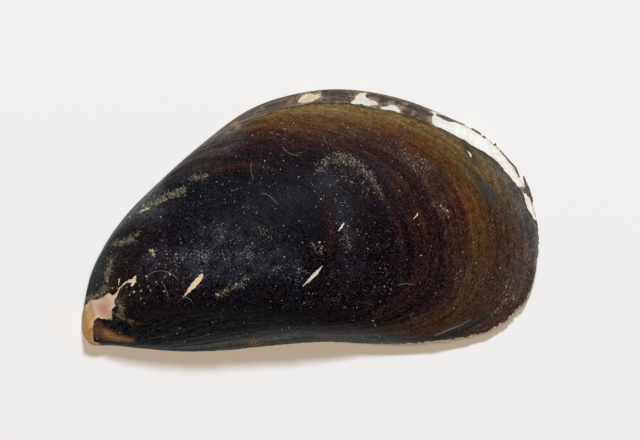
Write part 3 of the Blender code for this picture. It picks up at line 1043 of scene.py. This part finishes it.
# What lies loose on the skin: grains of dust, dry fibres, torn skin and crumbs.
loose = {
    "grainCount": 6200,  # at most
    "grainTries": 90000,
    "grainSizes": (0.018, 0.078),  # radii in mm
    "grainPower": 7,  # the higher, the fewer large ones
    "grainBase": 0.062,  # how many lie where there is no dust, and how many more each kind of dirt holds
    "grainOnFilmAndSheen": 0.22,
    "grainOnCrust": 0.5,
    "grainClumps": [(2.6, 0.13, 41, 0.55), (0.9, 0.18, 42, 0.6)],  # mm apart, how many more, layer, how rare
    "grainShare": 0.35,  # of the wanted ones that are laid
    "fibreCount": 300,
    "fibreRadius": 0.013,
    "fibreSteps": 6,
    "fibreStep": (0.07, 0.17),
    "fibreLift": 0.08,
    "hairRadius": 0.024,
    "hairLift": 0.05,
    "hairs": [
        [(-21.6, -7.9), (-21.4, -7.2), (-20.7, -6.8), (-19.8, -6.6), (-18.7, -6.8), (-17.9, -7.3),
         (-17.4, -7.9)],
        [(-6.5, 3.5), (-5.9, 3.5), (-5.2, 3.1), (-4.3, 2.2)],
        [(-7.8, 7.7), (-7.9, 6.7), (-7.5, 5.4)],
        [(-3.7, 9.8), (-3.1, 9.0), (-2.1, 8.6), (-1.5, 8.7)],
        [(1.8, 11.4), (1.9, 10.7), (2.2, 10.1)],
        [(-19.4, -8.3), (-18.9, -9.3), (-18.7, -10.4)],
        [(-16.9, -10.1), (-16.3, -10.1), (-15.8, -10.4), (-15.5, -10.9)],
        [(-28.4, -16.6), (-27.8, -16.9), (-27.4, -17.4)],
        [(-27.0, -16.4), (-26.3, -16.9), (-25.8, -17.0), (-25.5, -16.8)],
        [(11.5, -8.6), (12.6, -8.3), (13.7, -8.5)],
        [(5.0, 11.9), (5.6, 11.6), (6.0, 11.2)],
    ],
    "flakes": [  # middle lines with half widths
        [(16.8, 14.2, 0.05), (17.7, 13.85, 0.24), (18.6, 13.45, 0.18), (19.3, 13.3, 0.06),
         (20.6, 12.75, 0.03)],
        [(21.5, 12.3, 0.03), (22.2, 11.9, 0.09), (22.8, 11.5, 0.04)],
        [(23.0, 11.3, 0.05), (23.4, 11.05, 0.08)],
        [(24.4, 10.1, 0.02), (24.8, 10.2, 0.12)],
        [(25.3, 9.4, 0.02), (26.6, 7.9, 0.06), (27.35, 7.1, 0.10), (27.9, 5.8, 0.04)],
        [(28.4, 6.0, 0.03), (28.7, 5.1, 0.12), (28.95, 4.3, 0.32), (29.15, 3.6, 0.26),
         (29.5, 3.0, 0.14), (29.65, 2.4, 0.04)],
    ],
    "flakeLift": 0.10,
    "flakeThickness": 0.03,
    "crumbParts": 4,
    "crumbs": [  # place and radius
        (-20.9, -4.1, 0.22), (-20.7, -4.6, 0.18), (-17.7, -4.5, 0.17), (-17.6, -5.0, 0.14),
        (-9.8, -8.4, 0.20), (-12.2, -9.8, 0.22), (-11.2, -9.2, 0.15), (-7.8, -16.1, 0.16),
        (-6.9, -16.2, 0.18), (-6.5, -15.9, 0.12), (1.2, -2.9, 0.14), (-24.0, 0.4, 0.14), (-22.2, 2.0, 0.15),
        (-26.9, -6.5, 0.13), (8.6, -13.9, 0.16), (17.2, 2.0, 0.13), (18.2, 1.3, 0.14), (-28.3, -9.9, 0.16),
        (-25.0, -12.9, 0.18), (-18.5, -7.05, 0.13), (-26.2, -9.0, 0.12), (-27.3, -8.7, 0.10),
        (-26.9, -8.1, 0.08), (-29.5, -10.3, 0.11), (-28.6, -10.5, 0.08), (-30.0, -11.1, 0.09),
        (-27.7, -9.7, 0.09), (-28.1, -9.4, 0.07), (-29.1, -9.9, 0.06), (-21.9, -10.9, 0.09),
        (-19.3, -9.3, 0.10), (-17.7, -15.0, 0.13), (-17.4, -14.3, 0.10), (-13.0, -13.5, 0.10),
        (-28.4, -15.7, 0.13), (-23.9, -9.9, 0.08), (-25.6, -9.0, 0.10), (-22.6, -8.6, 0.07),
        (-20.2, -8.4, 0.06), (-14.0, -3.0, 0.06), (-19.6, -2.6, 0.06),
    ],
}


def surfaceTree(piece):  # in metres, for finding the skin under a place
    faces = [tuple(face.vertices) for face in piece.data.polygons]
    return BVHTree.FromPolygons([Vector(point) for point in meshPoints(piece)], faces)


def landing(tree, x, y):  # where a thing dropped at x and y in mm comes to lie
    spot, normal, _, _ = tree.ray_cast(Vector((x * mm, y * mm, 0.05)), Vector((0, 0, -1)))
    return spot, normal


def joinedPiece(name, points, faces, finish):
    mesh = bpy.data.meshes.new(name)
    mesh.from_pydata(points, [], faces)
    mesh.materials.append(finish)
    mesh.shade_smooth()
    piece = bpy.data.objects.new(name, mesh)
    bpy.context.collection.objects.link(piece)
    return piece


def pebble(subdivisions, unevenness, seed):  # one small lump, as vertices and faces
    selectNothing()
    bpy.ops.mesh.primitive_ico_sphere_add(subdivisions=subdivisions, radius=1.0, location=(0, 0, 0))
    lump = bpy.context.object
    random = np.random.default_rng(seed)
    points = np.array([vert.co[:] for vert in lump.data.vertices])
    points *= 1 + unevenness * (random.random((len(points), 1)) - 0.5)
    faces = [tuple(face.vertices) for face in lump.data.polygons]
    bpy.data.objects.remove(lump)
    return points, faces


def strewn(name, shape, placements, finish):  # copies of one shape in a single mesh
    points, faces = shape
    allPoints, allFaces = [], []
    for spot, turn, size in placements:
        turned = (points * size) @ np.array(turn.to_matrix()).T + np.array(spot)
        allFaces += [tuple(index + len(allPoints) for index in face) for face in faces]
        allPoints += [tuple(point) for point in turned]
    return joinedPiece(name, allPoints, allFaces, finish)


def buildGrains(tree, finish):
    random = np.random.default_rng(5)
    low, high = fineMargin.min(axis=0), fineMargin.max(axis=0)
    tries = low + random.random((loose["grainTries"], 2)) * (high - low)
    x, y = tries[:, 0], tries[:, 1]
    wanted = loose["grainBase"] + loose["grainOnFilmAndSheen"] * featureField(x, y, dirt["film"], 1.6)
    wanted += featureField(x, y, dirt["dust"], 0.7) ** 1.5
    wanted += loose["grainOnCrust"] * featureField(x, y, dirt["crust"], 0.4)
    for apart, more, layer, rare in loose["grainClumps"]:
        wanted += more * smoothStep(softNoise(x / apart, y / apart, layer), rare, 0.9)
    small, large = loose["grainSizes"]
    placements = []
    for a, b in tries[random.random(len(tries)) < wanted * loose["grainShare"]]:
        spot, normal = landing(tree, a, b)
        if spot is None or len(placements) == loose["grainCount"]:
            continue
        size = small + (large - small) * random.random() ** loose["grainPower"]
        turn = normal.to_track_quat("Z", "Y") @ Quaternion((0, 0, 1), 6.28 * random.random())
        length, width = 1 + 1.6 * random.random() ** 4, 0.6 + 0.5 * random.random()
        shape = np.array([size * length, size * width, size * 0.55]) * mm
        placements.append((spot + normal * size * 0.2 * mm, turn, shape))
    return strewn("dustGrains", pebble(1, 0.5, 3), placements, finish)


def between(points, steps):  # places along a line through points, counted in points
    return np.column_stack([np.interp(steps, np.arange(len(points)), values) for values in points.T])


def buildFibres(tree, finish):
    random = np.random.default_rng(8)
    curve = bpy.data.curves.new("dryFibres", "CURVE")
    curve.dimensions = "3D"
    curve.bevel_depth = 1.0 * mm
    curve.bevel_resolution = 0

    def addFibre(places, radius, lift):
        spots = [landing(tree, x, y) for x, y in places]
        spots = [(spot, normal) for spot, normal in spots if spot is not None]
        if len(spots) < 2:
            return
        spline = curve.splines.new("POLY")
        spline.points.add(len(spots) - 1)
        for number, (point, (spot, normal)) in enumerate(zip(spline.points, spots)):
            rise = lift * math.sin(math.pi * number / (len(spots) - 1))
            point.co = (*(spot + normal * (radius + rise) * mm), 1.0)
            point.radius = radius * (0.6 if number in (0, len(spots) - 1) else 1.0)

    for hair in loose["hairs"]:
        places = np.array(hair)
        steps = np.linspace(0, len(places) - 1, 4 * len(places) - 3)
        smooth = between(places, steps)
        smooth[1:-1] = (smooth[:-2] + 2 * smooth[1:-1] + smooth[2:]) / 4
        addFibre(smooth, loose["hairRadius"], loose["hairLift"])
    crusts = [stroke for _, stroke in dirt["crust"]]
    shortest, longest = loose["fibreStep"]
    for _ in range(loose["fibreCount"]):
        stroke = crusts[random.integers(len(crusts))]
        first = random.integers(len(stroke) - 1)
        share = random.random()
        (ax, ay, aWidth), (bx, by, bWidth) = stroke[first], stroke[first + 1]
        place = np.array([ax + (bx - ax) * share, ay + (by - ay) * share])
        place = place + (random.random(2) - 0.5) * 1.7 * (aWidth + bWidth) / 2
        heading = math.atan2(by - ay, bx - ax) + (random.random() - 0.5) * 1.8
        step = shortest + (longest - shortest) * random.random()
        places = [tuple(place)]
        for _ in range(loose["fibreSteps"]):
            heading += (random.random() - 0.5) * 1.5
            place = place + np.array([math.cos(heading), math.sin(heading)]) * step
            places.append(tuple(place))
        addFibre(places, loose["fibreRadius"] * (0.8 + 0.6 * random.random()), loose["fibreLift"])
    fibres = bpy.data.objects.new("dryFibres", curve)
    bpy.context.collection.objects.link(fibres)
    fibres.data.materials.append(finish)
    makeActive(fibres)
    bpy.ops.object.convert(target="MESH")
    fibres = bpy.context.object
    fibres.data.shade_smooth()
    return fibres


def buildFlakes(tree, finish):
    points, faces = [], []
    for number, flake in enumerate(loose["flakes"]):
        middle = np.array(flake)
        steps = np.linspace(0, len(middle) - 1, 5 * len(middle) - 4)
        places = between(middle, steps)
        run = np.gradient(places[:, :2], axis=0)
        run /= np.linalg.norm(run, axis=1)[:, None]
        side = np.column_stack([-run[:, 1], run[:, 0]])
        rows = []
        for index, (x, y, width) in enumerate(places):
            width *= 0.75 + 0.5 * float(softNoise(index * 0.9, number, 51))
            row = []
            for share in (-1.0, -0.35, 0.35, 1.0):
                a, b = np.array([x, y]) + side[index] * width * share
                spot, normal = landing(tree, a, b)
                height = spot.z / mm if spot is not None else 0.0
                curl = 0.5 + 0.9 * share**2 + 0.6 * float(softNoise(index * 0.5, number, 52))
                curl *= loose["flakeLift"]
                row.append(len(points))
                points.append((a * mm, b * mm, (height + curl) * mm))
            rows.append(row)
        for first, second in zip(rows, rows[1:]):
            for left, right in zip(range(3), range(1, 4)):
                faces.append((first[right], first[left], second[left], second[right]))
    flakes = joinedPiece("skinFlakes", points, faces, finish)
    makeActive(flakes)
    thick = flakes.modifiers.new("thickness", "SOLIDIFY")
    thick.thickness = loose["flakeThickness"] * mm
    bpy.ops.object.modifier_apply(modifier="thickness")
    return flakes


def buildCrumbs(tree, finish):
    random = np.random.default_rng(9)
    placements = []
    for x, y, radius in loose["crumbs"]:
        for _ in range(loose["crumbParts"]):
            a, b = np.array([x, y]) + (random.random(2) - 0.5) * 1.6 * radius
            spot, normal = landing(tree, a, b)
            if spot is None:
                continue
            size = radius * (0.35 + 0.5 * random.random())
            shape = np.array([size, size * (0.6 + 0.5 * random.random()), size * 0.6]) * mm
            placements.append((spot + normal * size * 0.2 * mm, normal.to_track_quat("Z", "Y"), shape))
    return strewn("crumbs", pebble(2, 0.5, 4), placements, finish)


studio = {
    "photoWide": 85.44,  # width of the view at the floor, in mm
    "viewCentre": (1.28, 0.07),
    "cameraHeight": 900.0,
    "sensorWidth": 36.0,
    "floorTone": (234, 234, 234),
    "floorSize": 6.0,
    "floorRoughness": 0.9,
    "lightAway": 1.5,
    "keyFrom": (0.20, 1.0, 1.22),
    "keySize": 0.16,
    "keyPower": 17.0,
    "keyColour": (0.83, 1.0, 1.167),
    "fillFrom": (-0.05, 0.02, 1.3),
    "fillSize": 0.7,
    "fillPower": 10.6,
    "fillColour": (1.0, 0.753, 0.518),
    "roomLight": 0.12,
}


def buildStudio():
    selectNothing()
    bpy.ops.mesh.primitive_plane_add(size=studio["floorSize"], location=(0, 0, 0))
    floor = bpy.context.object
    floor.name = "floor"
    material, _, shader = startMaterial("paleFloor", studio["floorRoughness"], 0.0)
    shader.inputs["Base Color"].default_value = paint(*studio["floorTone"])
    floor.data.materials.append(material)

    for side in ("key", "fill"):
        direction = Vector(studio[side + "From"]).normalized()
        bpy.ops.object.light_add(type="AREA", location=direction * studio["lightAway"])
        lamp = bpy.context.object
        lamp.name = side + "Light"
        lamp.rotation_euler = direction.to_track_quat("Z", "Y").to_euler()
        lamp.data.shape = "DISK"
        lamp.data.size = studio[side + "Size"]
        lamp.data.energy = studio[side + "Power"]
        lamp.data.color = studio[side + "Colour"]
        lamp.visible_glossy = side == "key"

    world = bpy.data.worlds.new("studioRoom")
    bpy.context.scene.world = world
    world.use_nodes = True
    room = world.node_tree.nodes["Background"]
    room.inputs["Color"].default_value = (1.0, 1.0, 1.0, 1.0)
    room.inputs["Strength"].default_value = studio["roomLight"]


def placeCamera():
    height = studio["cameraHeight"] * mm
    centre = studio["viewCentre"]
    bpy.ops.object.camera_add(location=(centre[0] * mm, centre[1] * mm, height), rotation=(0, 0, 0))
    camera = bpy.context.object
    camera.name = "photoCamera"
    camera.data.sensor_width = studio["sensorWidth"]
    camera.data.lens = studio["sensorWidth"] * studio["cameraHeight"] / studio["photoWide"]
    camera.data.clip_start = 0.01
    bpy.context.scene.camera = camera
    bpy.context.scene.view_settings.view_transform = "Standard"


groups = {"lines": growthLinesGroup(), "specks": specksGroup(), "tornLine": tornLineGroup()}
skinFinish = skinMaterial()
pearlFinish = nacreMaterial()
rimFinish = limeMaterial("musselRim", [(122, 108, 90), (156, 140, 116), (56, 48, 44)], 2.5, 0.6)

shell = buildValve(skinFinish, pearlFinish, rimFinish)
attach(shell, "root")
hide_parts("left_valve")
print("valve", len(shell.data.polygons), "faces")

skinTree = surfaceTree(shell)
grainFinish = limeMaterial("dustGrain", [(220, 215, 204), (170, 160, 144), (122, 112, 99)], 5.0, 0.8)
fibreFinish = limeMaterial("dryFibre", [(170, 160, 136), (126, 114, 92), (84, 74, 58)], 4.0, 0.8)
crumbFinish = limeMaterial("crumb", [(192, 179, 150), (142, 130, 106), (92, 81, 65)], 4.0, 0.8)
flakeFinish = limeMaterial("tornSkin", [(108, 92, 76), (72, 60, 50), (42, 36, 34)], 3.0, 0.5)
for piece in (buildGrains(skinTree, grainFinish), buildFibres(skinTree, fibreFinish),
              buildFlakes(skinTree, flakeFinish), buildCrumbs(skinTree, crumbFinish)):
    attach(piece, "root")
    print(piece.name, len(piece.data.polygons), "faces")

buildStudio()
placeCamera()
print("studio and camera placed")
